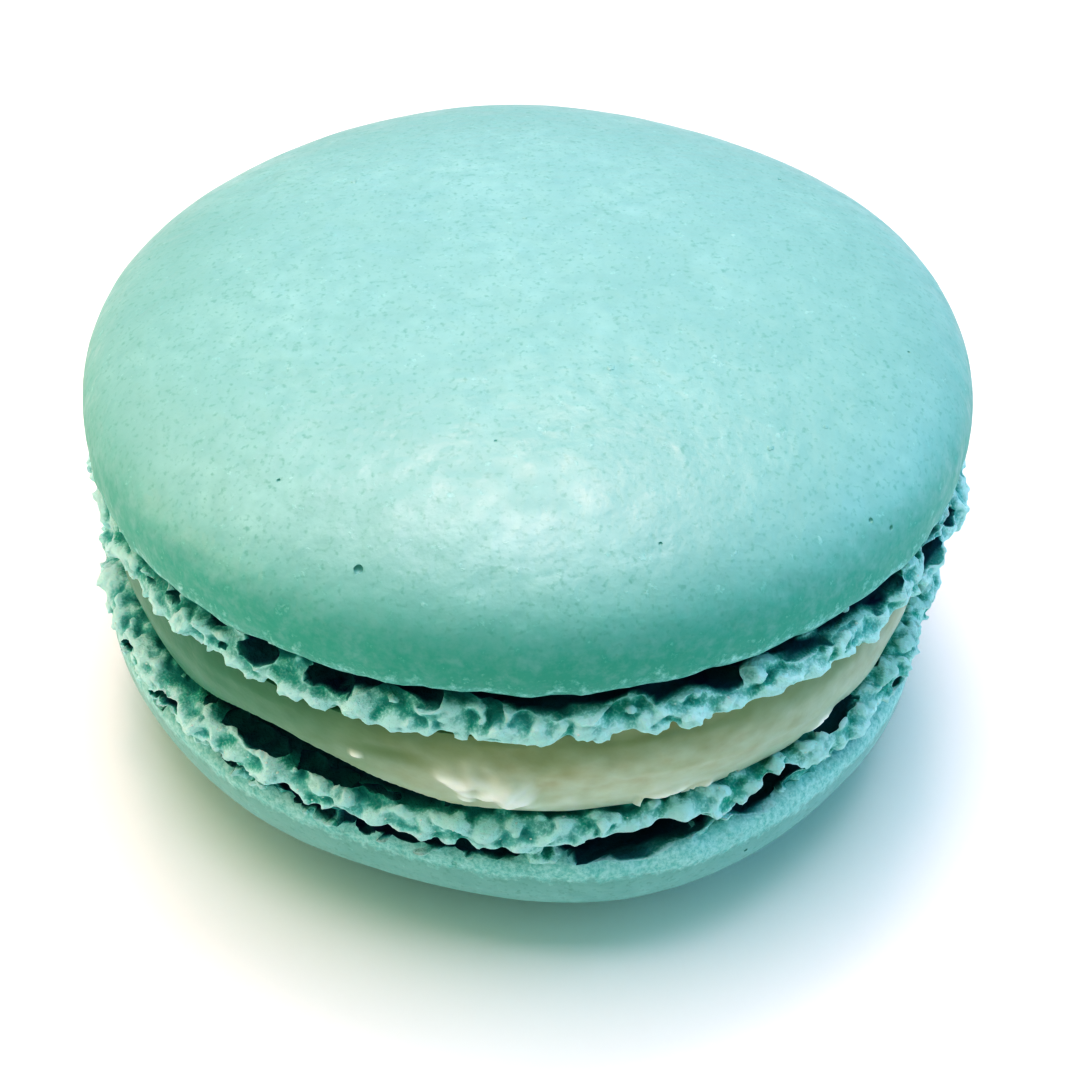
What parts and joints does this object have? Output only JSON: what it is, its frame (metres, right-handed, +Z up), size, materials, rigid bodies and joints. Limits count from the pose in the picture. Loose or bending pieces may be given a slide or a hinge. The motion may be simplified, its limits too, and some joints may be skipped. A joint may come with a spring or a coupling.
{
  "type": "french macaron",
  "caption": "Round sandwich biscuit of smooth turquoise almond meringue shells with ruffled, crumbly feet around a pale buttercream filling.",
  "frame": {"origin": "on the resting surface, under the middle of the bounding box", "axes": "+Z up through the lower shell, the filling and the upper shell; -Y is the side that is shown, where the feet gape and the cream is thickest; +X to its right"},
  "size_m": [0.0492, 0.0479, 0.0287],
  "materials": {
    "meringue": "satin turquoise eggshell skin on the caps, porous matt crumb on the feet",
    "buttercream": "smooth pale ivory cream with a soft sheen"
  },
  "bodies": {
    "root": {"bottom_shell": "meringue", "filling": "buttercream", "top_shell": "meringue"}
  },
  "joints": []
}
